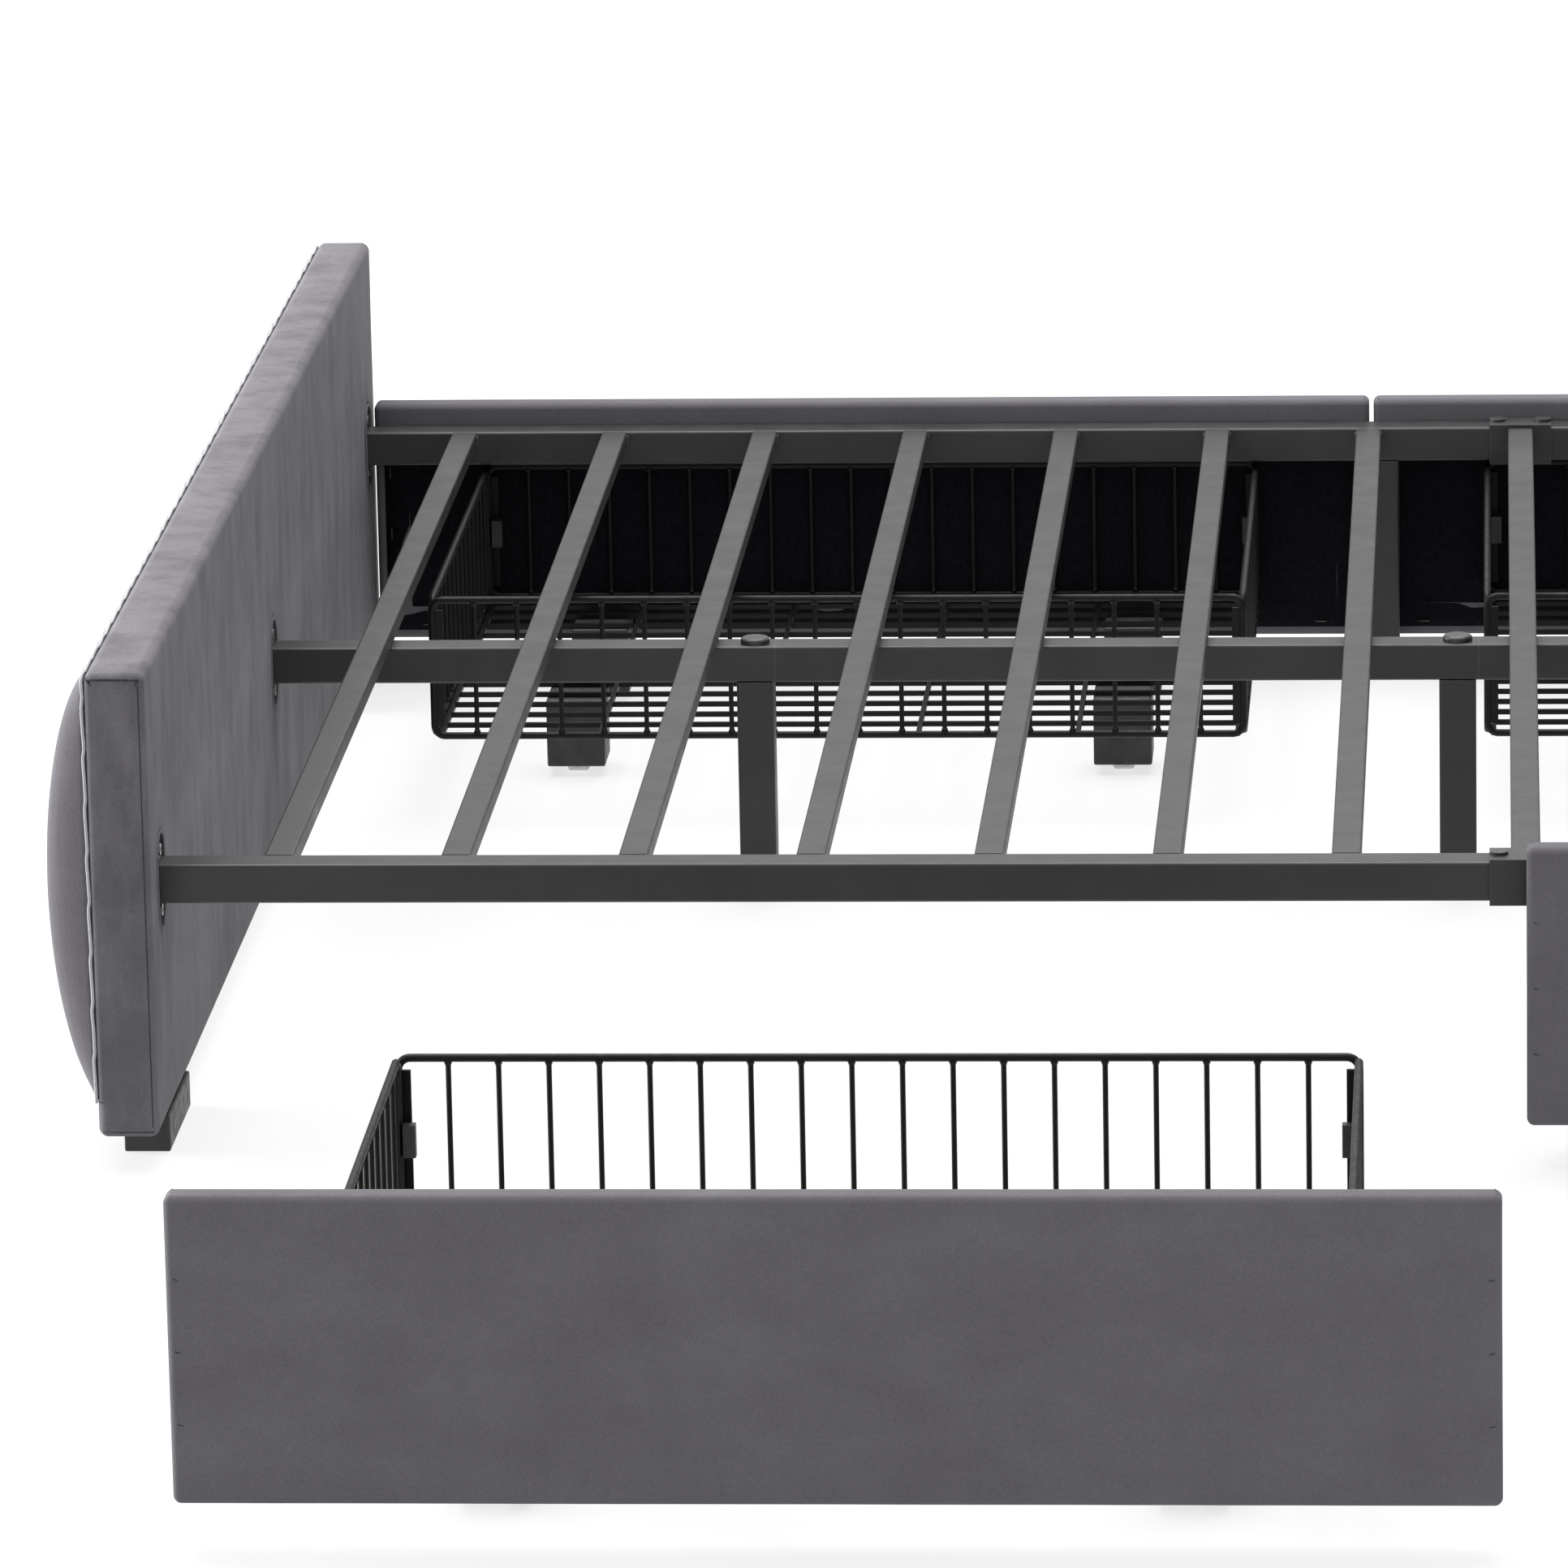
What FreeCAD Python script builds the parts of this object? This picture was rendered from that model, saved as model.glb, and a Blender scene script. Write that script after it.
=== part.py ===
import FreeCAD, Part
import math
import os

# Queen-size upholstered platform bed: a bolted steel slat frame between a padded footboard and
# headboard, with four wire-basket drawers that roll under it on casters.
# Millimetres. +X runs from foot to head, +Y to the far side, +Z up. The origin is on the floor
# under the middle leg, on the bed's centreline.

V = FreeCAD.Vector
X_AXIS, Y_AXIS, Z_AXIS = V(1, 0, 0), V(0, 1, 0), V(0, 0, 1)

# ---------------------------------------------------------------- driving dimensions
deck_length = 2045.0          # footboard face to the crown of the headboard pad
deck_width = 1530.0           # over the outer faces of the side rails
deck_top = 228.0              # top of the slats above the floor
middle_leg_offset = 53.0      # the middle leg stands this far footward of the bed's middle

tube = 30.0                   # side of the square rail and leg tube
tube_wall = 1.5
tube_round = 2.5              # outer edge radius of rails and legs
slat_pitch = 133.5
slat_end_room = 80.0          # at least this much from a board's face to the nearest slat's centre
slat_width = 22.0
slat_height = 15.0
slat_wall = 1.2
slat_round = 2.0

board_overhang = 45.0         # the end boards stand this far outside the side rails
board_bottom = 28.0           # underside of both end boards, and the height of their feet
cover_wall = 6.0              # foam and velvet around an end board's timber frame
cover_round = 7.0
timber = 45.0                 # width of the timber frame members
footboard_thickness = 45.5
footboard_height = 358.0
footboard_pad_depth = 35.0
headboard_thickness = 60.0
headboard_height = 1072.0
headboard_pad_depth = 30.0
footboard_pad_bottom = 57.0   # lower edge of the footboard pad above the floor
headboard_pad_bottom = 290.0
pad_top_margin = 4.0          # plain border between a pad and the top of its board
pad_side_margin = 3.0
pad_shoulder = 32.0           # length over which a pad's crown rounds off at each side

foot_length = 126.0
foot_width = 35.0
foot_inset = 60.0             # from the end of the board to the foot
foot_stand_in = 0.5           # the feet reach this far past the board's bed-side face

plate_ear = 17.0              # a rail's end plate is as wide as the rail and stands out this far
                              # above and below it
plate_thickness = 4.0
slot_clearance = 4.0          # around an end plate in the cover's slot
plate_bolt_radius = 2.5       # M5
plate_bolt_to_rail = 8.5      # from the rail's face to each bolt's centre
plate_bolt_length = 26.0      # depth of its hole; the bolt stops short of the end
plate_bolt_spare = 2.0
plate_head_radius = 4.5
plate_head_height = 3.0
bolt_clearance = 0.3

sleeve_length = 54.0          # sleeve over the two halves of a side rail
sleeve_wall = 2.5
sleeve_clearance = 0.2
joint_bolt_radius = 3.0
joint_bolt_head_radius = 7.0
joint_bolt_head_height = 2.5
joint_bolt_spacing = 40.0
centre_joint_past_leg = 17.0  # the centre rail is jointed just headward of each leg
insert_length = 90.0          # insert inside each of those joints

centre_leg_slats = (2, -5)    # the outer centre legs stand just headward of the third slat from the
                              # foot and of the fifth from the head
centre_leg_past_slat = (41.5, 66.5)
near_leg_to_basket = 48.0     # from the near leg's centre to the basket at the head end
far_leg_off_middle = 9.5      # from the middle of the gap between the far baskets
leg_plate = 4.0               # steel plate that closes the top of a centre leg
cap_wall = 2.0
cap_height = 12.0
cap_floor = 4.0
leg_bolt_radius = 4.0
leg_bolt_head_radius = 12.0
leg_bolt_head_height = 5.0
leg_bolt_reach = 14.0         # below the leg's top plate

front_gap = 5.0               # between a side rail and the back of a closed drawer front
front_length = 885.0
front_bottom = 32.0
front_height = 214.0
front_thickness = 24.0
velvet = 3.0                  # thickness of the drawer front's cover
front_round = 5.0
wrap_back = 32.0              # the velvet is folded this far over the back of the front

front_past_basket = 97.5      # at each end of the front, so the velvet's fold clears the basket
basket_depth = 520.0
basket_bottom = 68.0
rail_to_basket = 6.0          # clear height between the basket rim and the side rail
rim_wire = 6.0
rim_bend = 9.0                # bend radius of the rim wire's centre line at a wall's corners
wall_wire = 4.0
wire_pitch = 36.0
floor_bays = 5                # bays between the floor bars that run under the bed
post_width = 12.0             # from a basket wall's end to the inner edge of its flat bar
bar_thickness = 3.0
seat_gap = 0.2                # between pieces that are clipped together
clip_size = (9.0, 9.0, 24.0)

caster_side_inset = 110.0     # from the basket's side to the caster
caster_front_inset = 95.0
caster_back_inset = 165.0
wheel_radius = 22.0
wheel_width = 18.0
wheel_side_gap = 1.0
axle_radius = 2.5
axle_clearance = 0.05
cheek = 3.0
caster_plate = 4.0
caster_length = 52.0
caster_width = 50.0
caster_wall = 3.0
caster_round = 2.0
housing_lift = 9.0            # underside of a caster's housing above the floor

board_to_front = 4.0          # from the footboard to the far drawer front beside it
far_fronts_gap = 4.0
near_fronts_gap = 19.0
near_head_past_middle = 0.5   # from the bed's middle to the near head-end drawer's front
near_foot_out = 900.0         # how far the drawer at the near foot corner is rolled out

# ---------------------------------------------------------------- derived places
bed_middle = middle_leg_offset
foot_face = bed_middle - deck_length / 2
head_face = bed_middle + deck_length / 2 + headboard_pad_depth
rail_y = deck_width / 2 - tube / 2
rail_bottom = deck_top - tube
centre_rail_bottom = deck_top - slat_height - tube
board_half_width = deck_width / 2 + board_overhang
basket_length = front_length - 2 * front_past_basket
basket_top = rail_bottom - rail_to_basket
plate_height = tube + 2 * plate_ear
plate_bolt_rise = tube / 2 + plate_bolt_to_rail
slats_each_way = int((deck_length / 2 - slat_end_room) // slat_pitch)
slat_xs = [bed_middle + i * slat_pitch for i in range(-slats_each_way, slats_each_way + 1)]
outer_leg_xs = [slat_xs[k] + past for k, past in zip(centre_leg_slats, centre_leg_past_slat)]
centre_leg_xs = [outer_leg_xs[0], 0.0, outer_leg_xs[1]]
centre_joint_xs = [x + centre_joint_past_leg for x in centre_leg_xs]
far_foot_x = foot_face + board_to_front + front_length / 2
far_head_x = far_foot_x + front_length + far_fronts_gap
near_head_x = bed_middle + near_head_past_middle + front_length / 2
near_foot_x = near_head_x - front_length - near_fronts_gap
near_leg_x = near_head_x - basket_length / 2 - near_leg_to_basket
far_leg_x = (far_foot_x + far_head_x) / 2 + far_leg_off_middle
rail_ends = [(rail_bottom, y) for y in (-rail_y, rail_y)] + [(centre_rail_bottom, 0.0)]


# ---------------------------------------------------------------- shape helpers
def block(x0, x1, y0, y1, z0, z1):
    return Part.makeBox(x1 - x0, y1 - y0, z1 - z0, V(x0, y0, z0))


def rod(radius, start, direction, length):
    return Part.makeCylinder(radius, length, start, direction)


def fused(shapes):
    return shapes[0].multiFuse(shapes[1:]).removeSplitter()


def square_tube(x0, x1, y0, y1, z0, z1, wall, axis, radius=0.0):
    """A hollow tube that is open along the named axis, with its long outer edges rounded."""
    inner = [x0 + wall, x1 - wall, y0 + wall, y1 - wall, z0 + wall, z1 - wall]
    k = "xyz".index(axis)
    inner[2 * k], inner[2 * k + 1] = (x0, y0, z0)[k], (x1, y1, z1)[k]
    outer = block(x0, x1, y0, y1, z0, z1)
    if radius > 0:
        along = (X_AXIS, Y_AXIS, Z_AXIS)[k]
        long_edges = [e for e in outer.Edges if abs(e.tangentAt(e.FirstParameter).dot(along)) > 0.5]
        outer = outer.makeFillet(radius, long_edges)
    return outer.cut(block(*inner))


def rounded_box(x0, x1, y0, y1, z0, z1, radius):
    shape = block(x0, x1, y0, y1, z0, z1)
    return shape.makeFillet(radius, shape.Edges)


def obround(height, width, depth, start):
    """An upright slot shape, extruded along +X from its low-X face."""
    r = width / 2
    x, y, z = start
    middle = block(x, x + depth, y - r, y + r, z - height / 2 + r, z + height / 2 - r)
    ends = [rod(r, V(x, y, z + s * (height / 2 - r)), X_AXIS, depth) for s in (-1, 1)]
    return fused([middle] + ends)


def save(name, shapes):
    shapes = shapes if isinstance(shapes, list) else [shapes]
    for shape in shapes:
        if not shape.isValid():
            raise ValueError(name + " is not a valid solid")
    Part.makeCompound(shapes).exportStep(os.path.join("parts", name + ".step"))


# ---------------------------------------------------------------- end boards
def bolt_places(face, inward):
    """Start points of the end-plate bolts: on the outside of each end plate, two to a rail."""
    return [V(face + inward * (plate_thickness - cover_wall), y, z + tube / 2 + s * plate_bolt_rise)
            for z, y in rail_ends for s in (-1, 1)]


def end_board(low_x, high_x, height, face, inward):
    """Timber frame and upholstered cover of one end board. inward is the X sense towards the bed."""
    y, z0, z1 = board_half_width, board_bottom, board_bottom + height
    inner = (low_x + cover_wall, high_x - cover_wall,
             cover_wall - y, y - cover_wall, z0 + cover_wall, z1 - cover_wall)
    cover = rounded_box(low_x, high_x, -y, y, z0, z1, cover_round).cut(block(*inner))
    for z, rail in rail_ends:
        slot_x = face - cover_wall if inward > 0 else face
        cover = cover.cut(obround(plate_height + 2 * slot_clearance, tube + 2 * slot_clearance,
                                  cover_wall, (slot_x, rail, z + tube / 2)))
    frame = block(*inner)
    upright = rail_y - tube / 2 - timber
    for side in (-1, 1):
        ys = sorted((side * timber, side * upright))
        frame = frame.cut(block(inner[0], inner[1], ys[0], ys[1],
                                inner[4] + timber, inner[5] - timber))
    for start in bolt_places(face, inward):
        frame = frame.cut(rod(plate_bolt_radius + bolt_clearance, start, V(-inward, 0, 0),
                              plate_bolt_length))
    return frame, cover


def board_pad(back_x, depth, z0, z1):
    """Padded panel on the low-X face of a board. Its crown stands depth off the board, and it thins to its
    upper and lower edges and to its two sides."""
    y = board_half_width - pad_side_margin
    crown = back_x - depth
    profile = Part.Wire([
        Part.Arc(V(back_x, -y, z0), V(crown, -y, (z0 + z1) / 2), V(back_x, -y, z1)).toShape(),
        Part.makeLine(V(back_x, -y, z1), V(back_x, -y, z0))])
    body = Part.Face(profile).extrude(V(0, 2 * y, 0))
    shoulder = y - pad_shoulder
    knee_x = back_x - depth * math.sqrt(0.5)
    knee_y = y - pad_shoulder * (1 - math.sqrt(0.5))
    outline = Part.Wire([
        Part.makeLine(V(back_x, -y, z0), V(back_x, y, z0)),
        Part.Arc(V(back_x, y, z0), V(knee_x, knee_y, z0), V(crown, shoulder, z0)).toShape(),
        Part.makeLine(V(crown, shoulder, z0), V(crown, -shoulder, z0)),
        Part.Arc(V(crown, -shoulder, z0), V(knee_x, -knee_y, z0), V(back_x, -y, z0)).toShape()])
    return body.common(Part.Face(outline).extrude(V(0, 0, z1 - z0)))


def board_feet(face, inward):
    """Blocks under the two ends of a board, reaching a little past its bed-side face."""
    x = sorted((face + inward * foot_stand_in, face + inward * (foot_stand_in - foot_width)))
    y1 = board_half_width - foot_inset
    return [block(x[0], x[1], min(s * y1, s * (y1 - foot_length)), max(s * y1, s * (y1 - foot_length)),
                  0, board_bottom) for s in (-1, 1)]


def footboard():
    outer = foot_face - footboard_thickness
    frame, cover = end_board(outer, foot_face, footboard_height, foot_face, 1)
    pad_top = board_bottom + footboard_height - pad_top_margin
    save("footboard_frame", frame)
    save("footboard_cover", cover)
    save("footboard_pad", board_pad(outer, footboard_pad_depth, footboard_pad_bottom, pad_top))
    save("footboard_feet", board_feet(foot_face, 1))


def headboard():
    frame, cover = end_board(head_face, head_face + headboard_thickness, headboard_height, head_face, -1)
    pad_top = board_bottom + headboard_height - pad_top_margin
    save("headboard_frame", frame)
    save("headboard_cover", cover)
    save("headboard_pad", board_pad(head_face, headboard_pad_depth, headboard_pad_bottom, pad_top))
    save("headboard_feet", board_feet(head_face, -1))


# ---------------------------------------------------------------- steel frame
def rail(x0, x1, y, bottom, holes=()):
    """One half of a rail, with an upright hole right through it for each (x, radius)."""
    shape = square_tube(x0, x1, y - tube / 2, y + tube / 2, bottom, bottom + tube, tube_wall, "x",
                        tube_round)
    for x, radius in holes:
        shape = shape.cut(rod(radius + bolt_clearance, V(x, y, bottom - 1), Z_AXIS, tube + 2))
    return shape


def rails():
    foot_end = foot_face - cover_wall + plate_thickness
    head_end = head_face + cover_wall - plate_thickness
    bolt_xs = [bed_middle - joint_bolt_spacing / 2, bed_middle + joint_bolt_spacing / 2]
    for side, y in (("near", -rail_y), ("far", rail_y)):
        save(side + "_rail_foot",
             rail(foot_end, bed_middle, y, rail_bottom, [(bolt_xs[0], joint_bolt_radius)]))
        save(side + "_rail_head",
             rail(bed_middle, head_end, y, rail_bottom, [(bolt_xs[1], joint_bolt_radius)]))
    cuts = [foot_end] + centre_joint_xs + [head_end]
    sections = [rail(x0, x1, 0, centre_rail_bottom,
                     [(x, leg_bolt_radius) for x in centre_leg_xs if x0 < x < x1])
                for x0, x1 in zip(cuts, cuts[1:])]
    save("centre_rail_foot", sections[:2])
    save("centre_rail_head", sections[2:])


def end_plates():
    """Plates welded to the rail ends, bolted to the boards' frames through the slots in the covers."""
    plates, bolts = [], []
    for face, inward in ((foot_face, 1), (head_face, -1)):
        back = face - inward * cover_wall
        outward = V(-inward, 0, 0)
        starts = bolt_places(face, inward)
        holes = [rod(plate_bolt_radius + bolt_clearance, start, outward, plate_thickness)
                 for start in starts]
        for z, y in rail_ends:
            x = min(back, back + inward * plate_thickness)
            plate = obround(plate_height, tube, plate_thickness, (x, y, z + tube / 2))
            plates.append(plate.cut(Part.makeCompound(holes)))
        for start in starts:
            head = rod(plate_head_radius, start, -outward, plate_head_height)
            shank = rod(plate_bolt_radius, start, outward, plate_bolt_length - plate_bolt_spare)
            bolts.append(head.fuse(shank))
    save("rail_end_plates", plates)
    save("end_plate_bolts", bolts)


def joints():
    """Sleeves over the side rails' joints with their bolts, and inserts in the centre rail's joints."""
    half = tube / 2 + sleeve_clearance + sleeve_wall
    sleeves, bolts = [], []
    for y in (-rail_y, rail_y):
        z = rail_bottom + tube / 2
        sleeve = square_tube(bed_middle - sleeve_length / 2, bed_middle + sleeve_length / 2,
                             y - half, y + half, z - half, z + half, sleeve_wall, "x")
        for s in (-1, 1):
            x = bed_middle + s * joint_bolt_spacing / 2
            sleeve = sleeve.cut(rod(joint_bolt_radius + bolt_clearance, V(x, y, z - half - 1), Z_AXIS,
                                    2 * half + 2))
            top = V(x, y, z + half)
            head = rod(joint_bolt_head_radius, top, Z_AXIS, joint_bolt_head_height)
            bolts.append(head.fuse(rod(joint_bolt_radius, top, -Z_AXIS, 2 * half)))
        sleeves.append(sleeve)
    inner = tube / 2 - tube_wall - sleeve_clearance
    z = centre_rail_bottom + tube / 2
    for leg_x, x in zip(centre_leg_xs, centre_joint_xs):
        insert = square_tube(x - insert_length / 2, x + insert_length / 2, -inner, inner,
                             z - inner, z + inner, tube_wall, "x")
        hole = rod(leg_bolt_radius + bolt_clearance, V(leg_x, 0, z - tube), Z_AXIS, 2 * tube)
        sleeves.append(insert.cut(hole))
    save("rail_joint_sleeves", sleeves)
    save("joint_bolts", bolts)


def leg(x, y, top, bolted):
    shape = square_tube(x - tube / 2, x + tube / 2, y - tube / 2, y + tube / 2, cap_floor, top,
                        tube_wall, "z", tube_round)
    if bolted:
        half = tube / 2 - tube_wall
        plate = block(x - half, x + half, y - half, y + half, top - leg_plate, top)
        shape = shape.fuse(plate).removeSplitter()
        shape = shape.cut(rod(leg_bolt_radius + bolt_clearance, V(x, y, top - tube), Z_AXIS, 2 * tube))
    return shape


def leg_cap(x, y):
    half = tube / 2 + seat_gap + cap_wall
    pocket = tube / 2 + seat_gap
    return block(x - half, x + half, y - half, y + half, 0, cap_height).cut(
        block(x - pocket, x + pocket, y - pocket, y + pocket, cap_floor, cap_height))


def legs():
    save("near_leg", leg(near_leg_x, -rail_y, rail_bottom, False))
    save("far_leg", leg(far_leg_x, rail_y, rail_bottom, False))
    save("centre_legs", [leg(x, 0, centre_rail_bottom, True) for x in centre_leg_xs])
    places = [(near_leg_x, -rail_y), (far_leg_x, rail_y)] + [(x, 0) for x in centre_leg_xs]
    save("leg_caps", [leg_cap(x, y) for x, y in places])
    bolts = []
    for x in centre_leg_xs:
        top = V(x, 0, centre_rail_bottom + tube)
        head = rod(leg_bolt_head_radius, top, Z_AXIS, leg_bolt_head_height)
        head = head.makeFillet(0.6 * leg_bolt_head_height, [head.Edges[0]])
        bolts.append(head.fuse(rod(leg_bolt_radius, top, -Z_AXIS, tube + leg_plate + leg_bolt_reach)))
    save("leg_bolts", bolts)


def slat(x):
    reach = deck_width / 2 - tube
    if abs(x - bed_middle) < (sleeve_length + slat_width) / 2:
        reach -= sleeve_clearance + sleeve_wall
    return square_tube(x - slat_width / 2, x + slat_width / 2, -reach, reach,
                       deck_top - slat_height, deck_top, slat_wall, "y", slat_round)


def slats():
    first_half = slats_each_way + 1
    save("foot_slats", [slat(x) for x in slat_xs[:first_half]])
    save("head_slats", [slat(x) for x in slat_xs[first_half:]])


# ---------------------------------------------------------------- drawers
# A drawer is made about its own middle: y = 0 is the velvet face, +y runs in under the bed.
def bent_rim(half_x, low, high):
    """The rim wire of a basket wall: a rectangle in the XZ plane with bent corners, as a round wire."""
    r = rim_bend
    diagonal = r * (1 - math.sqrt(0.5))
    edges = []
    for sx, sz in ((1, 1), (-1, 1), (-1, -1), (1, -1)):
        x, z = sx * half_x, (high if sz > 0 else low)
        ends = [V(x, 0, z - sz * r), V(x - sx * r, 0, z)]
        ends = ends if sx * sz > 0 else ends[::-1]
        if edges:
            edges.append(Part.makeLine(edges[-1].lastVertex().Point, ends[0]))
        edges.append(Part.Arc(ends[0], V(x - sx * diagonal, 0, z - sz * diagonal), ends[1]).toShape())
    edges.append(Part.makeLine(edges[-1].lastVertex().Point, V(half_x, 0, high - r)))
    profile = Part.Wire(Part.makeCircle(rim_wire / 2, V(half_x, 0, high - r), Z_AXIS))
    return Part.Wire(edges).makePipeShell([profile], True, True)


def wall_panel(length):
    """A basket wall in the XZ plane about y = 0: a bent rim wire, a flat bar inside each end of it, and
    upright wires between them."""
    low, high = basket_bottom + rim_wire / 2, basket_top - rim_wire / 2
    half = length / 2
    bar_inset = rim_wire / 2
    pieces = [bent_rim(half - rim_wire / 2, low, high)]
    for s in (-1, 1):
        x0, x1 = sorted((s * (half - bar_inset), s * (half - post_width)))
        pieces.append(block(x0, x1, -bar_thickness / 2, bar_thickness / 2,
                            low + rim_bend, high - rim_bend))
    count = int((length - 2 * post_width) // wire_pitch)
    first = -wire_pitch * (count - 1) / 2
    pieces += [rod(wall_wire / 2, V(first + k * wire_pitch, 0, low), Z_AXIS, high - low)
               for k in range(count)]
    return fused(pieces)


def basket_walls():
    back_y = velvet + (front_thickness - 2 * velvet) + seat_gap + rim_wire / 2
    long_wall = wall_panel(basket_length)
    front, back = long_wall.copy(), long_wall.copy()
    front.translate(V(0, back_y, 0))
    back.translate(V(0, back_y + basket_depth - rim_wire, 0))
    side = wall_panel(basket_depth - 2 * rim_wire - 2 * seat_gap)
    side.rotate(V(0, 0, 0), Z_AXIS, 90)
    sides = []
    for s in (-1, 1):
        one = side.copy()
        one.translate(V(s * (basket_length - rim_wire) / 2, back_y + (basket_depth - rim_wire) / 2, 0))
        sides.append(one)
    return [front, back] + sides, back_y


def basket_floor(front_y):
    """Welded mesh: close bars along the bed and a few across it."""
    half_x = basket_length / 2 - rim_wire - seat_gap
    y0 = front_y + rim_wire / 2 + seat_gap
    y1 = front_y + basket_depth - 1.5 * rim_wire - seat_gap
    bar, z0 = wall_wire, basket_bottom
    outer = block(-half_x, half_x, y0, y1, z0, z0 + bar)
    count_x = floor_bays
    count_y = int((y1 - y0) // wire_pitch)
    step_x, step_y = (2 * half_x - bar) / count_x, (y1 - y0 - bar) / count_y
    holes = []
    for i in range(count_x):
        for j in range(count_y):
            x, y = -half_x + bar + i * step_x, y0 + bar + j * step_y
            holes.append(block(x, x + step_x - bar, y, y + step_y - bar, z0 - 1, z0 + bar + 1))
    return outer.cut(Part.makeCompound(holes))


def basket_clips(front_y):
    """Black clips that lock a side wall to the front and back walls, on the inside of each corner."""
    x = basket_length / 2 - rim_wire
    middle = (basket_bottom + basket_top) / 2
    dx, dy, dz = clip_size
    y_front = front_y + rim_wire / 2 + seat_gap
    y_back = front_y + basket_depth - 1.5 * rim_wire - seat_gap
    clips = []
    for s in (-1, 1):
        xs = sorted((s * (x - seat_gap), s * (x - seat_gap - dx)))
        for y0, y1 in ((y_front, y_front + dy), (y_back - dy, y_back)):
            clips.append(block(xs[0], xs[1], y0, y1, middle - dz / 2, middle + dz / 2))
    return clips


def caster_places(front_y):
    x = basket_length / 2 - caster_side_inset
    back = front_y - rim_wire / 2 + basket_depth - caster_back_inset
    return x, front_y - rim_wire / 2 + caster_front_inset, back


def caster(x, y):
    """A fixed caster: a moulded housing that is open below, with two cheeks inside it and the pin
    between them."""
    top = basket_bottom - seat_gap
    inner = wheel_width / 2 + wheel_side_gap
    outer = inner + cheek
    half_x, half_y = caster_width / 2, caster_length / 2
    shell = rounded_box(x - half_x, x + half_x, y - half_y, y + half_y, housing_lift, top, caster_round)
    hollow = block(x - half_x + caster_wall, x + half_x - caster_wall,
                   y - half_y + caster_wall, y + half_y - caster_wall,
                   housing_lift - 1, top - caster_plate)
    cheeks = [block(x + min(s * inner, s * outer), x + max(s * inner, s * outer),
                    y - half_y + caster_wall / 2, y + half_y - caster_wall / 2,
                    housing_lift + caster_round, top - caster_plate / 2) for s in (-1, 1)]
    axle = rod(axle_radius, V(x - outer, y, wheel_radius), X_AXIS, 2 * outer)
    return fused([shell.cut(hollow)] + cheeks).cut(axle), axle


def wheel(x, y):
    start = V(x - wheel_width / 2, y, wheel_radius)
    body = rod(wheel_radius, start, X_AXIS, wheel_width)
    body = body.makeFillet(2.5, [e for e in body.Edges if isinstance(e.Curve, Part.Circle)])
    return body.cut(rod(axle_radius + axle_clearance, start - X_AXIS, X_AXIS, wheel_width + 2))


def front_panel():
    """Board with its velvet cover, which is folded over the back and leaves the middle of it bare."""
    half, z0, z1 = front_length / 2, front_bottom, front_bottom + front_height
    t = front_thickness
    board = block(velvet - half, half - velvet, velvet, t - velvet, z0 + velvet, z1 - velvet)
    window = block(wrap_back - half, half - wrap_back, t / 2, t + 1, z0 + wrap_back, z1 - wrap_back)
    cover = rounded_box(-half, half, 0, t, z0, z1, front_round).cut(board).cut(window)
    return board, cover


def drawer(name, x, side, out):
    """side is -1 for a drawer on the near side and 1 for the far side; out is how far it is rolled out."""
    board, cover = front_panel()
    walls, front_y = basket_walls()
    cx, y_front, y_back = caster_places(front_y)
    casters = [piece for s in (-1, 1) for y in (y_front, y_back) for piece in caster(s * cx, y)]
    nodes = {
        "front_board": [board],
        "front_cover": [cover],
        "basket_walls": walls,
        "basket_floor": [basket_floor(front_y)],
        "basket_clips": basket_clips(front_y),
        "casters": casters,
        "front_wheels": [wheel(s * cx, y_front) for s in (-1, 1)],
        "back_wheels": [wheel(s * cx, y_back) for s in (-1, 1)],
    }
    face_y = deck_width / 2 + front_gap + front_thickness + out
    for node, shapes in nodes.items():
        placed = []
        for shape in shapes:
            shape = shape.copy()
            if side > 0:
                shape.rotate(V(0, 0, 0), Z_AXIS, 180)
            shape.translate(V(x, side * face_y, 0))
            placed.append(shape)
        save(name + "_" + node, placed)


os.makedirs("parts", exist_ok=True)
footboard()
headboard()
rails()
end_plates()
joints()
legs()
slats()
drawer("near_foot", near_foot_x, -1, near_foot_out)
drawer("near_head", near_head_x, -1, 0.0)
drawer("far_foot", far_foot_x, 1, 0.0)
drawer("far_head", far_head_x, 1, 0.0)
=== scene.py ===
import math

import bmesh
import bpy
from mathutils import Matrix, Vector, noise
from mathutils.bvhtree import BVHTree


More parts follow.
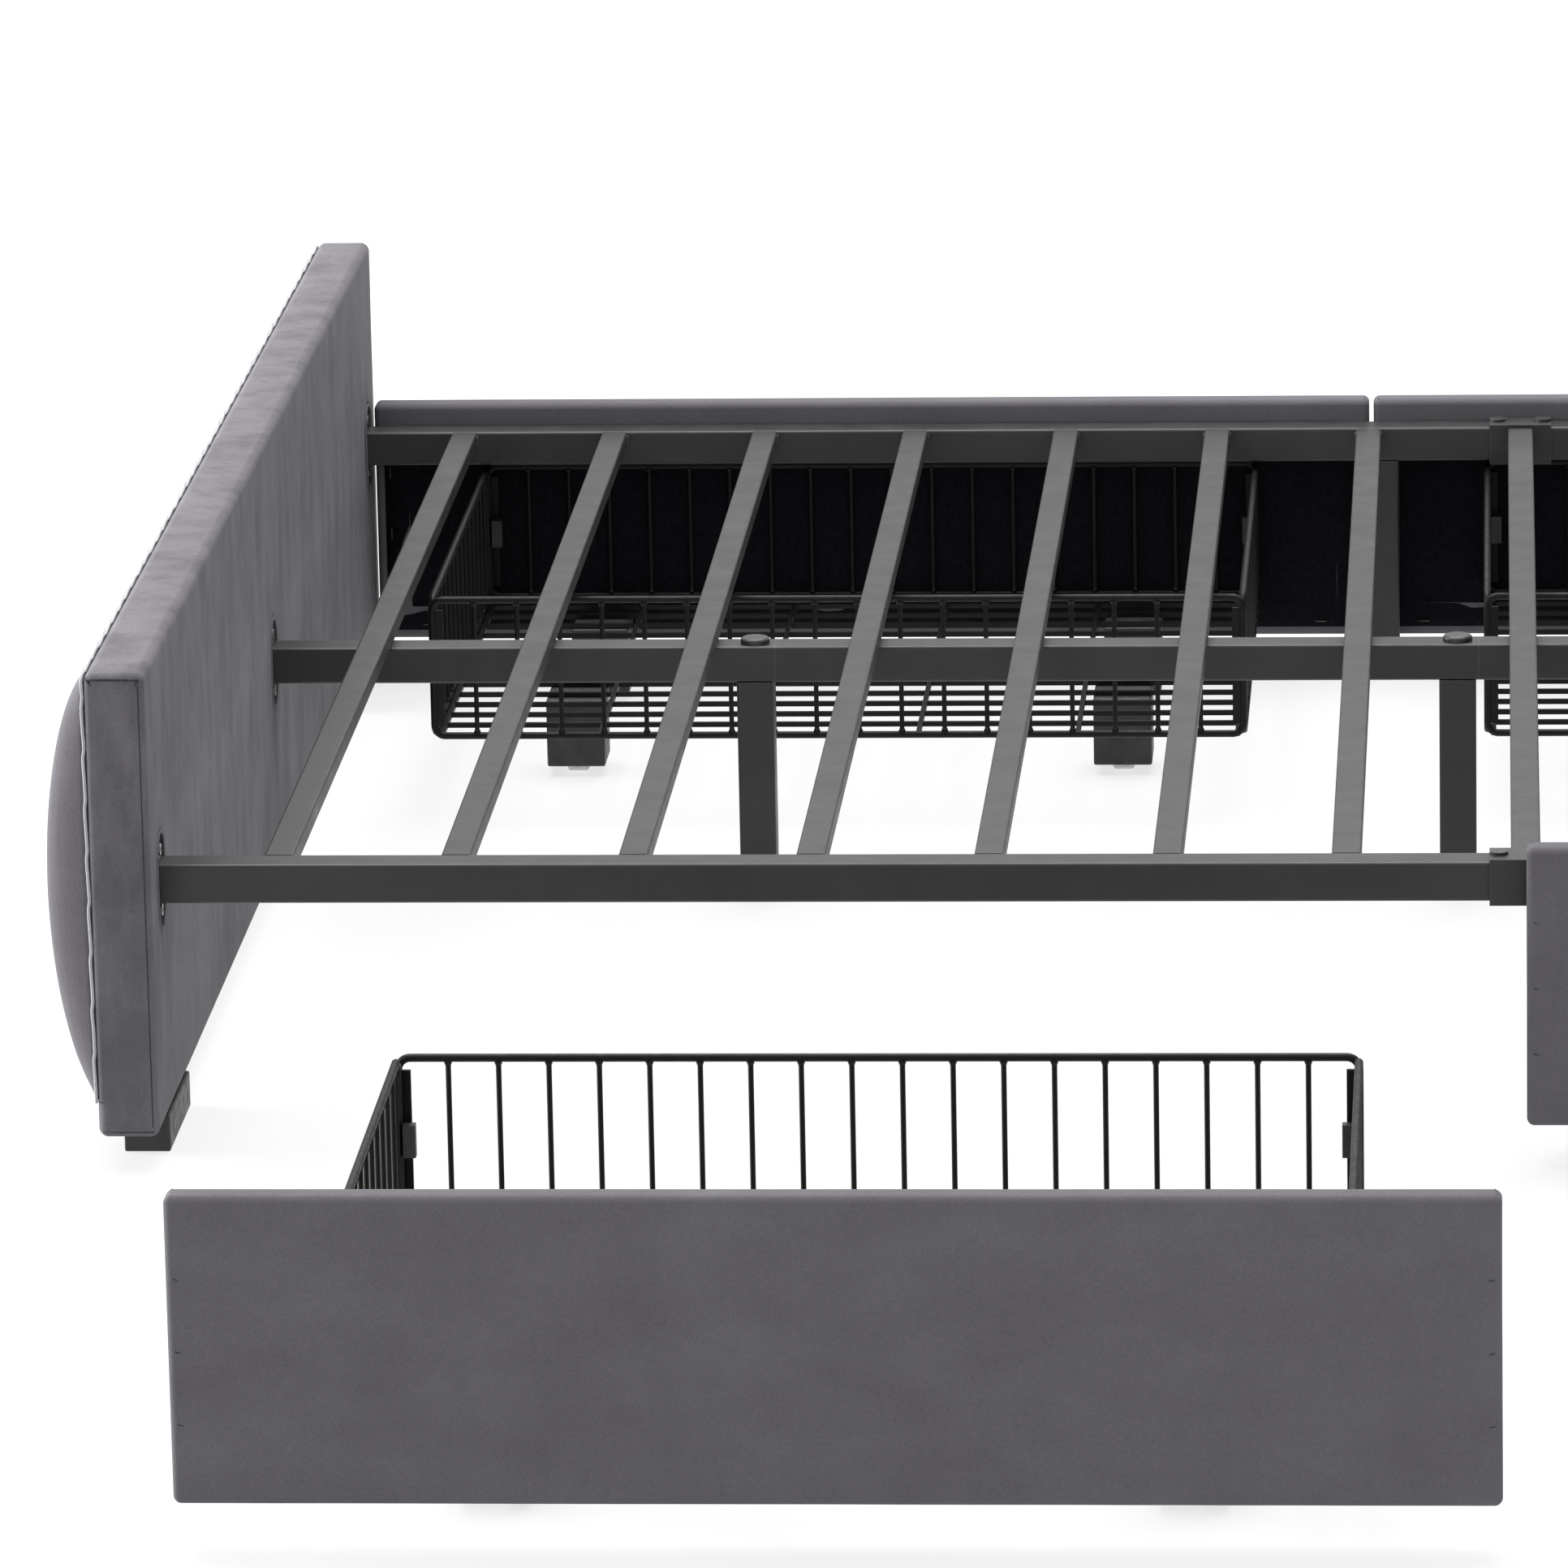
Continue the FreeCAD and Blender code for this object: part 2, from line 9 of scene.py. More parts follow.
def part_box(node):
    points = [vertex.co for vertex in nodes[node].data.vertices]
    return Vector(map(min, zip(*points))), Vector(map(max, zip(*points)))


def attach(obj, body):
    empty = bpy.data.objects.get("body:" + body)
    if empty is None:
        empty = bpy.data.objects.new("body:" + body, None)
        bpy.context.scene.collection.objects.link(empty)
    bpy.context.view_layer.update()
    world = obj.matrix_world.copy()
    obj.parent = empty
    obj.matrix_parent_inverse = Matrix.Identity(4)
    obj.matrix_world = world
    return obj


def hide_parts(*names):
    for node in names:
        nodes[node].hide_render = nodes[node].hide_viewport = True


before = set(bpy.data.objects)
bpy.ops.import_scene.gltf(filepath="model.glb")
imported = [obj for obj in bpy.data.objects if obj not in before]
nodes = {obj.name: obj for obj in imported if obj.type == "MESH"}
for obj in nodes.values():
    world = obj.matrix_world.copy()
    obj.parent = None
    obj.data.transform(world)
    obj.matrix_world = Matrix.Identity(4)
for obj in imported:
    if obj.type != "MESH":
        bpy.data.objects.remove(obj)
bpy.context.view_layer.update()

# ------------------------------------------------------------------ studio
# A queen-size platform bed on a pale floor, in even light from all round that is a little stronger
# from above and from the foot end. Metres: X runs from foot to head, Y to the far side, Z up.
view_from = Vector((0.0322, -8.2813, 2.2143))
view_turn, view_dip, view_roll = 0.0704, 0.2501, -0.0200
lens_mm, sensor_mm = 239.84, 36.0
floor_half = 120.0
sky_strength = 1.0
floor_glow = 0.72

scene = bpy.context.scene
scene.view_settings.view_transform = "Standard"

camera = bpy.data.objects.new("camera", bpy.data.cameras.new("camera"))
camera.data.lens = lens_mm
camera.data.sensor_width = sensor_mm
camera.data.clip_end = 400.0
ahead = Vector((-math.sin(view_turn) * math.cos(view_dip), math.cos(view_turn) * math.cos(view_dip),
                -math.sin(view_dip)))
level = Vector((math.cos(view_turn), math.sin(view_turn), 0.0))
upright = level.cross(ahead)
right = math.cos(view_roll) * level + math.sin(view_roll) * upright
top = right.cross(ahead)
camera.matrix_world = Matrix.Translation(view_from) @ Matrix((right, top, -ahead)).transposed().to_4x4()
scene.collection.objects.link(camera)
scene.camera = camera

world = bpy.data.worlds.new("soft_room")
world.use_nodes = True
world.node_tree.nodes["Background"].inputs["Color"].default_value = (1.0, 1.0, 1.0, 1.0)
world.node_tree.nodes["Background"].inputs["Strength"].default_value = sky_strength
scene.world = world


def soft_lamp(name, place, aim, size, watts):
    """A wide lamp turned towards aim."""
    lamp = bpy.data.objects.new(name, bpy.data.lights.new(name, "AREA"))
    lamp.data.shape = "RECTANGLE"
    lamp.data.size, lamp.data.size_y = size
    lamp.data.energy = watts
    lamp.location = place
    lamp.rotation_euler = (Vector(aim) - Vector(place)).to_track_quat("-Z", "Y").to_euler()
    scene.collection.objects.link(lamp)


soft_lamp("overhead", (-0.6, 1.2, 5.5), (0.0, 0.2, 0.2), (6.0, 5.0), 520.0)
soft_lamp("from_the_foot", (-6.5, 0.6, 1.0), (-1.0, -0.5, 0.3), (3.0, 2.0), 850.0)


def new_finish(name):
    """A new material, its node tree and its shader."""
    finish = bpy.data.materials.new(name)
    finish.use_nodes = True
    return finish, finish.node_tree, finish.node_tree.nodes["Principled BSDF"]


def set_shader(shader, **values):
    """Sets sockets by name: base_color for Base Color."""
    for socket, value in values.items():
        shader.inputs[socket.replace("_", " ").title()].default_value = value


def add(tree, kind, **values):
    """A new node with its settings."""
    made = tree.nodes.new(kind)
    for name, value in values.items():
        setattr(made, name, value)
    return made


def mottle(tree, scale, stretch=(1.0, 1.0, 1.0), detail=3.0, roughness=0.55):
    """Noise in the piece's own metres: scale is how many patches to a metre, stretch draws them out."""
    place = add(tree, "ShaderNodeTexCoord")
    sized = add(tree, "ShaderNodeMapping")
    sized.inputs["Scale"].default_value = stretch
    cloud = add(tree, "ShaderNodeTexNoise")
    cloud.inputs["Scale"].default_value = scale
    cloud.inputs["Detail"].default_value = detail
    cloud.inputs["Roughness"].default_value = roughness
    tree.links.new(place.outputs["Object"], sized.inputs["Vector"])
    tree.links.new(sized.outputs["Vector"], cloud.inputs["Vector"])
    return cloud.outputs["Fac"]


def shades(tree, amount, *stops):
    """A colour ramp from (position, grey or colour) stops."""
    ramp = add(tree, "ShaderNodeValToRGB")
    while len(ramp.color_ramp.elements) < len(stops):
        ramp.color_ramp.elements.new(0.5)
    for element, (position, tone) in zip(ramp.color_ramp.elements, stops):
        element.position = position
        element.color = (*tone, 1.0) if isinstance(tone, tuple) else (tone, tone, tone, 1.0)
    tree.links.new(amount, ramp.inputs["Fac"])
    return ramp.outputs["Color"]


def blend_tones(tree, first, second, how="MULTIPLY"):
    """Two colours put together in full."""
    mix = add(tree, "ShaderNodeMix", data_type="RGBA", blend_type=how)
    mix.inputs["Factor"].default_value = 1.0
    tree.links.new(first, mix.inputs[6])
    tree.links.new(second, mix.inputs[7])
    return mix.outputs[2]


def relief(tree, shader, height, distance, strength, under=None):
    """A bumpy surface, distance metres deep; under is coarser relief that it lies on."""
    bump = add(tree, "ShaderNodeBump")
    bump.inputs["Distance"].default_value = distance
    bump.inputs["Strength"].default_value = strength
    tree.links.new(height, bump.inputs["Height"])
    if under is not None:
        tree.links.new(under, bump.inputs["Normal"])
    tree.links.new(bump.outputs["Normal"], shader.inputs["Normal"])
    return bump.outputs["Normal"]


floor_mesh = bpy.data.meshes.new("floor")
floor_mesh.from_pydata([(-floor_half, -floor_half, 0), (floor_half, -floor_half, 0),
                        (floor_half, floor_half, 0), (-floor_half, floor_half, 0)], [], [(0, 1, 2, 3)])
floor = bpy.data.objects.new("floor", floor_mesh)
scene.collection.objects.link(floor)
floor_finish, _, floor_shader = new_finish("pale_floor")
set_shader(floor_shader, base_color=(0.20, 0.20, 0.20, 1.0), roughness=1.0, emission_strength=floor_glow,
           emission_color=(1.0, 1.0, 1.0, 1.0))
floor_shader.inputs["Specular IOR Level"].default_value = 0.0
floor_mesh.materials.append(floor_finish)

# ------------------------------------------------------------------ footboard cover
# The footboard is a timber frame wrapped in thin foam and grey velvet. The velvet is glued round the
# frame, folded in like a parcel at both ends and cut open where the rails' end plates go in.
velvet_dark, velvet_light = (0.100, 0.095, 0.106), (0.122, 0.117, 0.129)
board_dark, board_light = (0.118, 0.113, 0.124), (0.148, 0.142, 0.154)
sheen = 0.035
cover_round = 0.007
cover_grid = 0.014
cover_puff = 0.0009
puff_border = 0.03      # the swelling fades out over this distance from an edge
slot_room = 0.004
slot_depth = 0.0066
slot_past_face = 0.01   # how far the slot's cutter stands proud of the cloth
slot_lip = 0.0012
lip_room = 0.0004
seam_round = 0.0009
seam_inset = 0.0045     # from the board's top and bottom edges to the seams on its ends
seam_side_inset = 0.0035
seam_wander = 0.0005
thread_drop = 0.0024


def velvet(name, dark, light, streaks, fuzz=1.0):
    """Short-pile velvet. streaks is how strongly the nap is brushed into upright stripes."""
    finish, tree, shader = new_finish(name)
    patches = shades(tree, mottle(tree, 16.0, (0.6, 1.0, 1.3), 5.0), (0.25, dark), (0.75, light))
    stripes = shades(tree, mottle(tree, 24.0, (1.0, 1.0, 0.35), 6.0, 0.7), (0.36, 1.0 - streaks), (0.56, 1.0))
    pile = shades(tree, mottle(tree, 620.0, detail=2.0), (0.30, 0.84), (0.70, 1.0))
    colour = blend_tones(tree, blend_tones(tree, patches, stripes), pile)
    tree.links.new(colour, shader.inputs["Base Color"])
    set_shader(shader, roughness=0.95, sheen_weight=sheen * fuzz, sheen_roughness=0.42,
               sheen_tint=(0.86, 0.85, 0.88, 1.0))
    shader.inputs["Specular IOR Level"].default_value = 0.15
    crush = relief(tree, shader, mottle(tree, 70.0, (1.0, 1.0, 0.35), 3.0), 0.0012, 0.35)
    relief(tree, shader, mottle(tree, 900.0, detail=2.0), 0.0004, 0.55, crush)
    return finish


smooth_velvet = velvet("smooth_velvet", velvet_dark, velvet_light, 0.05)
brushed_velvet = velvet("brushed_velvet", board_dark, board_light, 0.28)


def new_piece(name, mesh, finish, body, smooth=True):
    """A finished piece from a bmesh, riding on its body."""
    data = bpy.data.meshes.new(name)
    bmesh.ops.recalc_face_normals(mesh, faces=mesh.faces)
    mesh.to_mesh(data)
    mesh.free()
    data.materials.append(finish)
    data.polygons.foreach_set("use_smooth", [smooth] * len(data.polygons))
    piece = bpy.data.objects.new(name, data)
    scene.collection.objects.link(piece)
    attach(piece, body)
    return piece


def grid_lines(low, high, margin, step):
    """Positions of the grid lines along one side of a rounded block, closer together in its edges."""
    edge = [0.0, 0.35 * margin, 0.65 * margin, 0.85 * margin, margin]
    flat = high - low - 2 * margin
    count = max(1, round(flat / step))
    inner = [low + margin + flat * i / count for i in range(1, count)]
    return [low + e for e in edge] + inner + [high - e for e in reversed(edge)]


def wrapped_block(low, high, margin, step, puff, seed, bare=None):
    """A board wrapped in cloth: a block with rounded edges whose faces swell and waver a little.
    bare, if given, says where the cloth leaves the board open."""
    lines = [grid_lines(low[k], high[k], margin, step) for k in range(3)]
    mesh = bmesh.new()
    corners = {}

    def corner(at):
        key = tuple(round(c, 6) for c in at)
        if key not in corners:
            core = Vector([min(max(at[k], low[k] + margin), high[k] - margin) for k in range(3)])
            out = (Vector(at) - core).normalized()
            drift = noise.noise(Vector(at) * 9.0 + Vector((seed, 0, 0))) \
                + 0.5 * noise.noise(Vector(at) * 26.0 + Vector((0, seed, 0)))
            border = sorted(min(at[k] - low[k], high[k] - at[k]) for k in range(3))[1]
            inside = min(border / puff_border, 1.0)
            corners[key] = mesh.verts.new(core + out * (margin + puff * inside * (0.5 + drift)))
        return corners[key]

    for k in range(3):
        u, v = (k + 1) % 3, (k + 2) % 3
        for end in (low[k], high[k]):
            for i in range(len(lines[u]) - 1):
                for j in range(len(lines[v]) - 1):
                    ring = []
                    for a, b in ((i, j), (i + 1, j), (i + 1, j + 1), (i, j + 1)):
                        at = [0.0, 0.0, 0.0]
                        at[k], at[u], at[v] = end, lines[u][a], lines[v][b]
                        ring.append(at)
                    middle = [sum(p[n] for p in ring) / 4 for n in range(3)]
                    if bare is None or not bare(middle):
                        mesh.faces.new([corner(p) for p in ring])
    return mesh


def bead(mesh, points, radius, sides=8, closed=False, across=Vector((1, 0, 0)), flatten=1.0):
    """A round bead along points; radius may be one number or one for each point."""
    rings = []
    count = len(points)
    for i, point in enumerate(points):
        before = points[i - 1] if i or closed else point
        after = points[(i + 1) % count] if i + 1 < count or closed else point
        along = (after - before).normalized()
        side = along.cross(across).normalized()
        lift = side.cross(along).normalized()
        r = radius[i] if isinstance(radius, list) else radius
        rings.append([mesh.verts.new(point + r * (math.cos(a) * side + flatten * math.sin(a) * lift))
                      for a in (2 * math.pi * s / sides for s in range(sides))])
    for i in range(count if closed else count - 1):
        ring, following = rings[i], rings[(i + 1) % count]
        for s in range(sides):
            mesh.faces.new((ring[s], ring[(s + 1) % sides], following[(s + 1) % sides], following[s]))
    if not closed:
        mesh.faces.new(rings[0])
        mesh.faces.new(rings[-1][::-1])


def walk(points, pitch):
    """Evenly spaced points along a line of straight runs, ends included."""
    lengths = [(b - a).length for a, b in zip(points, points[1:])]
    count = max(1, round(sum(lengths) / pitch))
    found = []
    for i in range(count + 1):
        rest = sum(lengths) * i / count
        for run, a, b in zip(lengths, points, points[1:]):
            if rest <= run + 1e-9:
                found.append(a.lerp(b, rest / run))
                break
            rest -= run
    return found


def stitch_row(mesh, points, pitch, length, radius, across=Vector((1, 0, 0))):
    """Short stitches of thread along a line."""
    spots = walk(points, pitch)
    for a, b in zip(spots, spots[1:]):
        along = (b - a).normalized() * length / 2
        middle = (a + b) / 2
        ends = [middle - along, middle - along * 0.6, middle + along * 0.6, middle + along]
        bead(mesh, ends, [radius * 0.35, radius, radius, radius * 0.35], 5, across=across)


def obround_loop(x, y, z, half_width, half_height, steps=10):
    """Points round an upright slot."""
    straight = half_height - half_width
    points = []
    for sign in (1, -1):
        for i in range(steps + 1):
            a = math.pi * i / steps + (0 if sign > 0 else math.pi)
            points.append(Vector((x, y + half_width * math.cos(a), z + sign * straight
                                  + half_width * math.sin(a))))
    return points


def baked(piece):
    """The piece's mesh with its modifiers applied, in place of the old one."""
    bpy.context.view_layer.update()
    final = bpy.data.meshes.new_from_object(piece.evaluated_get(bpy.context.evaluated_depsgraph_get()))
    piece.modifiers.clear()
    piece.data = final


def cut_with(piece, cutter_mesh):
    """Cuts the closed shapes of a bmesh out of the piece."""
    data = bpy.data.meshes.new("cutter")
    bmesh.ops.recalc_face_normals(cutter_mesh, faces=cutter_mesh.faces)
    cutter_mesh.to_mesh(data)
    cutter_mesh.free()
    cutter = bpy.data.objects.new("cutter", data)
    scene.collection.objects.link(cutter)
    cut = piece.modifiers.new("slots", "BOOLEAN")
    cut.operation = "DIFFERENCE"
    cut.solver = "EXACT"
    cut.object = cutter
    baked(piece)
    bpy.data.objects.remove(cutter)


plate_lo, plate_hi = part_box("rail_end_plates")
rail_lo, rail_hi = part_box("near_rail_foot")
centre_lo, centre_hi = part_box("centre_rail_foot")
rail_size = rail_hi.z - rail_lo.z
rail_middle = rail_lo.z + rail_size / 2
plate_half_height = plate_hi.z - rail_middle
rail_seats = [(side * (rail_lo.y + rail_size / 2), rail_middle) for side in (1, -1)]
rail_seats.append((0.0, (centre_lo.z + centre_hi.z) / 2))


def board_cover(name, bed_face, inward, seed):
    """The velvet of one end board, its cut slots and the frayed edges round them."""
    low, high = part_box(name)
    cover = new_piece(name + "_velvet", wrapped_block(low, high, cover_round, cover_grid, cover_puff, seed),
                      brushed_velvet, "bed")
    cutters = bmesh.new()
    edges = bmesh.new()
    half_width = rail_size / 2 + slot_room
    half_height = plate_half_height + slot_room
    for y, z in rail_seats:
        ring_in = [cutters.verts.new(p) for p in
                   obround_loop(bed_face - inward * slot_depth, y, z, half_width, half_height)]
        ring_out = [cutters.verts.new(p) for p in
                    obround_loop(bed_face + inward * slot_past_face, y, z, half_width, half_height)]
        cutters.faces.new(ring_in)
        cutters.faces.new(ring_out[::-1])
        for i in range(len(ring_in)):
            j = (i + 1) % len(ring_in)
            cutters.faces.new((ring_in[j], ring_in[i], ring_out[i], ring_out[j]))
        lip = obround_loop(bed_face + inward * lip_room, y, z, half_width + lip_room,
                           half_height + lip_room, 14)
        frayed = [p + Vector((0, noise.noise(p * 300.0), noise.noise(p * 270.0))) * lip_room for p in lip]
        bead(edges, frayed, slot_lip, 8, closed=True)
    cut_with(cover, cutters)
    cover.data.polygons.foreach_set("use_smooth", [True] * len(cover.data.polygons))
    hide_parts(name)
    new_piece(name + "_slot_edges", edges, smooth_velvet, "bed")
    return low, high


def seam_line(mesh, threads, corners, wander, seed, across):
    """A sewn seam that wavers by a fraction of a millimetre, with its stitches beside it."""
    path = walk(corners, 0.006)
    wavy = [p + Vector((noise.noise(p * 90.0 + Vector((seed, 0, 0))), 0.0,
                        noise.noise(p * 80.0 + Vector((0, 0, seed))))) * wander for p in path]
    bead(mesh, wavy, seam_round, 6, across=across)
    beside = [p - Vector((0, 0, thread_drop)) for p in corners]
    stitch_row(threads, beside, 0.0042, 0.0028, 0.00045, across)


# Near-black finish for the thin beads along the seams, folds and screw slots: painted shade for the shadow
# that lies in these folds and grooves.
painted_crease_shade, crease_tree, crease_shader = new_finish("seam_shadow_velvet")
painted_crease_tone = shades(crease_tree, mottle(crease_tree, 420.0), (0.35, 0.012), (0.65, 0.034))
crease_tree.links.new(painted_crease_tone, crease_shader.inputs["Base Color"])
set_shader(crease_shader, roughness=1.0)
relief(crease_tree, crease_shader, mottle(crease_tree, 900.0), 0.0004, 0.6)

thread, thread_tree, thread_shader = new_finish("grey_thread")
thread_tone = shades(thread_tree, mottle(thread_tree, 1500.0), (0.35, (0.10, 0.10, 0.11)),
                     (0.65, (0.17, 0.17, 0.18)))
thread_tree.links.new(thread_tone, thread_shader.inputs["Base Color"])
set_shader(thread_shader, roughness=0.6, sheen_weight=0.4, sheen_roughness=0.4)
relief(thread_tree, thread_shader, mottle(thread_tree, 2500.0, (1.0, 1.0, 0.3)), 0.0003, 0.6)


def parcel_ends(name, low, high):
    """The folds at both ends of a board: a fold along the top and its two mitred corners, the edge of
    the folded cloth down the bed side, and the tuck at the bottom. All are near-black beads, painted shade
    along the folds."""
    seams, threads = bmesh.new(), bmesh.new()
    for sign, y in ((-1, low.y), (1, high.y)):
        face = y - sign * 0.0004
        x0, x1 = low.x + seam_side_inset, high.x - seam_side_inset
        z0, z1 = low.z + seam_inset, high.z - seam_inset
        across = Vector((0, 1, 0))
        top_seam = [Vector((x0, face, z1)), Vector((x1, face, z1))]
        seam_line(seams, threads, top_seam, seam_wander, 3.0 * sign, across)
        for x, inward in ((x0, 1), (x1, -1)):
            bead(seams, [Vector((x, face, z1)), Vector((x + inward * 0.0022, face, z1 - 0.0028)),
                         Vector((x + inward * 0.0038, face, z1 - 0.0055))],
                 [seam_round, seam_round, seam_round * 0.3], 6, across=across)
        side = [Vector((high.x - 0.0042, face, z)) for z in (z1 - 0.004, z0 + 0.004)]
        bead(seams, walk(side, 0.01), seam_round * 0.45, 6, across=across)
        bead(seams, [Vector((x0, face, z0)), Vector((x1, face, z0))], seam_round * 0.5, 6, across=across)
    # The fold beads are near-black: painted shade along the folds.
    new_piece(name + "_creases", seams, painted_crease_shade, "bed")
    new_piece(name + "_threads", threads, thread, "bed")


foot_bed_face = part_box("footboard_cover")[1].x
foot_low, foot_high = board_cover("footboard_cover", foot_bed_face, 1, 1.7)
parcel_ends("footboard_end", foot_low, foot_high)

# ------------------------------------------------------------------ timber frames
# Inside each cover is a frame of sawn softwood. It is only seen through the slots.
timber, timber_tree, timber_shader = new_finish("sawn_timber")
grain = shades(timber_tree, mottle(timber_tree, 26.0, (1.0, 0.12, 1.0), 6.0), (0.35, (0.16, 0.10, 0.055)),
               (0.65, (0.30, 0.20, 0.12)))
timber_tree.links.new(grain, timber_shader.inputs["Base Color"])
set_shader(timber_shader, roughness=0.85)
relief(timber_tree, timber_shader, mottle(timber_tree, 160.0, (1.0, 0.1, 1.0), 4.0), 0.0006, 0.5)


def paint(finish, *names):
    """Gives solid pieces of the frame their finish."""
    for name in names:
        for used in nodes[name].material_slots:
            used.material = finish


paint(timber, "footboard_frame", "headboard_frame")

# ------------------------------------------------------------------ board feet
# Each board stands on two low blocks of moulded black plastic, screwed up into its frame.
black_plastic, plastic_tree, plastic_shader = new_finish("black_plastic")
plastic_tone = shades(plastic_tree, mottle(plastic_tree, 40.0, detail=4.0), (0.35, 0.010), (0.65, 0.018))
plastic_tree.links.new(plastic_tone, plastic_shader.inputs["Base Color"])
plastic_wear = shades(plastic_tree, mottle(plastic_tree, 90.0, detail=5.0), (0.35, 0.42), (0.65, 0.62))
plastic_tree.links.new(plastic_wear, plastic_shader.inputs["Roughness"])
relief(plastic_tree, plastic_shader, mottle(plastic_tree, 700.0, detail=2.0), 0.0003, 0.4)
foot_length = 0.126
foot_round = 0.0016
foot_grid = 0.02
foot_puff = 0.0001
foot_rib = 0.0009
foot_rib_pitch = 0.021
rib_end_room = 0.004


def board_feet(name, seed):
    """The two moulded blocks under a board, with ribs on their outer sides."""
    low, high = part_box(name)
    mesh = bmesh.new()
    for sign in (-1, 1):
        y0, y1 = sorted((sign * high.y, sign * (high.y - foot_length)))
        block = wrapped_block((low.x, y0, low.z), (high.x, y1, high.z), foot_round, foot_grid, foot_puff,
                              seed)
        data = bpy.data.meshes.new("block")
        block.to_mesh(data)
        block.free()
        mesh.from_mesh(data)
        bpy.data.meshes.remove(data)
        ribs = int(foot_length / foot_rib_pitch)
        for k in range(1, ribs):
            y = y0 + foot_length * k / ribs
            rib = [Vector((low.x + 0.0002, y, z)) for z in (low.z + rib_end_room, high.z - rib_end_room)]
            bead(mesh, rib, foot_rib, 6, across=Vector((0, 1, 0)))
    feet = new_piece(name + "_moulded", mesh, black_plastic, "bed")
    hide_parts(name)


board_feet("footboard_feet", 5.0)

# ------------------------------------------------------------------ footboard pad
# A foam panel covered in velvet and sewn down in upright channels, glued to the outer face of the
# footboard. A narrow welt closes the joint between the pad and the board.
channel_pitch = 0.124
channel_dip = 0.34      # share of the depth lost at a channel's seam
dip_spread = 0.10       # half the dip's width, as a share of a channel
channel_crown = 0.10    # share of the depth that a channel falls off from its middle
pad_start = 1.02        # depth before the swelling, as a share of the solid pad's
pad_thin = 0.0025
pad_shoulder = 0.024    # length over which each side end rounds off
pad_room = 0.006        # the most that the skin may move while it swells
pad_reach = 0.0045      # the most that it may stand out past the solid pad
pad_steps = 20
columns = 14            # mesh columns to a channel
pad_row = 0.012
pad_fullness = 0.62     # lower is squarer from top to bottom
pad_pressure = 4.0
sewn_back = 0.0022      # what lies this near the board, the edge or a seam is held down
sewn_edge = 0.006
sewn_seam = 0.005
seam_end_room = 0.008
seam_step = 0.006
welt_round = 0.0010
welt_kink = 0.0013
welt_kink_pitch = 0.039


def pad_shape(back_x, depth, y1, z0, z1, channels):
    """The pad before it swells: an arched section, rounded ends and a dip along each channel seam."""
    across, up = channels * columns, round((z1 - z0) / pad_row)
    mesh = bmesh.new()
    front, back = [], []
    for i in range(across + 1):
        y = -y1 + 2 * y1 * i / across
        place = channels * i / across
        near_seam = abs(place - round(place)) if 0 < round(place) < channels else 0.5
        dip = 1.0 - channel_dip * math.exp(-(near_seam / dip_spread) ** 2) \
            - channel_crown * (1 - 2 * near_seam) ** 2
        end = max(0.0, 1 - (y1 - abs(y)) / pad_shoulder)
        rounding = math.sqrt(max(0.0, 1 - end * end))
        front.append([])
        back.append([])
        for j in range(up + 1):
            t = -math.cos(math.pi * j / up)
            arch = (1 - t * t) ** pad_fullness
            height = max(pad_thin, depth * pad_start * arch * rounding * dip)
            z = (z0 + z1) / 2 + (z1 - z0) / 2 * t
            front[i].append(mesh.verts.new((back_x - height, y, z)))
            back[i].append(mesh.verts.new((back_x, y, z)))
    for i in range(across):
        for j in range(up):
            mesh.faces.new((front[i][j], front[i + 1][j], front[i + 1][j + 1], front[i][j + 1]))
            mesh.faces.new((back[i][j], back[i][j + 1], back[i + 1][j + 1], back[i + 1][j]))
    for i in range(across):
        for j in (0, up):
            mesh.faces.new((front[i][j], back[i][j], back[i + 1][j], front[i + 1][j]))
    for j in range(up):
        for i in (0, across):
            mesh.faces.new((front[i][j], front[i][j + 1], back[i][j + 1], back[i][j]))
    return mesh


def swollen(piece, sewn, limits):
    """Fills the pad: its skin is blown up as cloth from its pinned seams and back."""
    low, high = limits[0] - Vector((pad_reach, 0, 0)), limits[1]
    start = [v.co.copy() for v in piece.data.vertices]
    pins = piece.vertex_groups.new(name="sewn")
    for vertex in piece.data.vertices:
        held = sewn(vertex.co)
        if held > 0:
            pins.add([vertex.index], held, "REPLACE")
    cloth = piece.modifiers.new("cloth", "CLOTH")
    cloth.settings.vertex_group_mass = "sewn"
    cloth.settings.use_pressure = True
    cloth.settings.uniform_pressure_force = pad_pressure
    cloth.settings.effector_weights.gravity = 0.0
    cloth.settings.quality = 4
    cloth.settings.tension_stiffness = 12.0
    cloth.settings.compression_stiffness = 12.0
    cloth.settings.bending_stiffness = 0.4
    cloth.point_cache.frame_end = pad_steps
    for step in range(1, pad_steps + 1):
        scene.frame_set(step)
    baked(piece)
    scene.frame_set(1)
    for vertex, was in zip(piece.data.vertices, start):
        move = vertex.co - was
        if move.length > pad_room:
            move = move.normalized() * pad_room
        at = was + move
        vertex.co = [min(max(at[k], low[k]), high[k]) for k in range(3)]
    finer = piece.modifiers.new("finer", "SUBSURF")
    finer.levels = 1
    finer.render_levels = 1
    baked(piece)
    piece.data.polygons.foreach_set("use_smooth", [True] * len(piece.data.polygons))


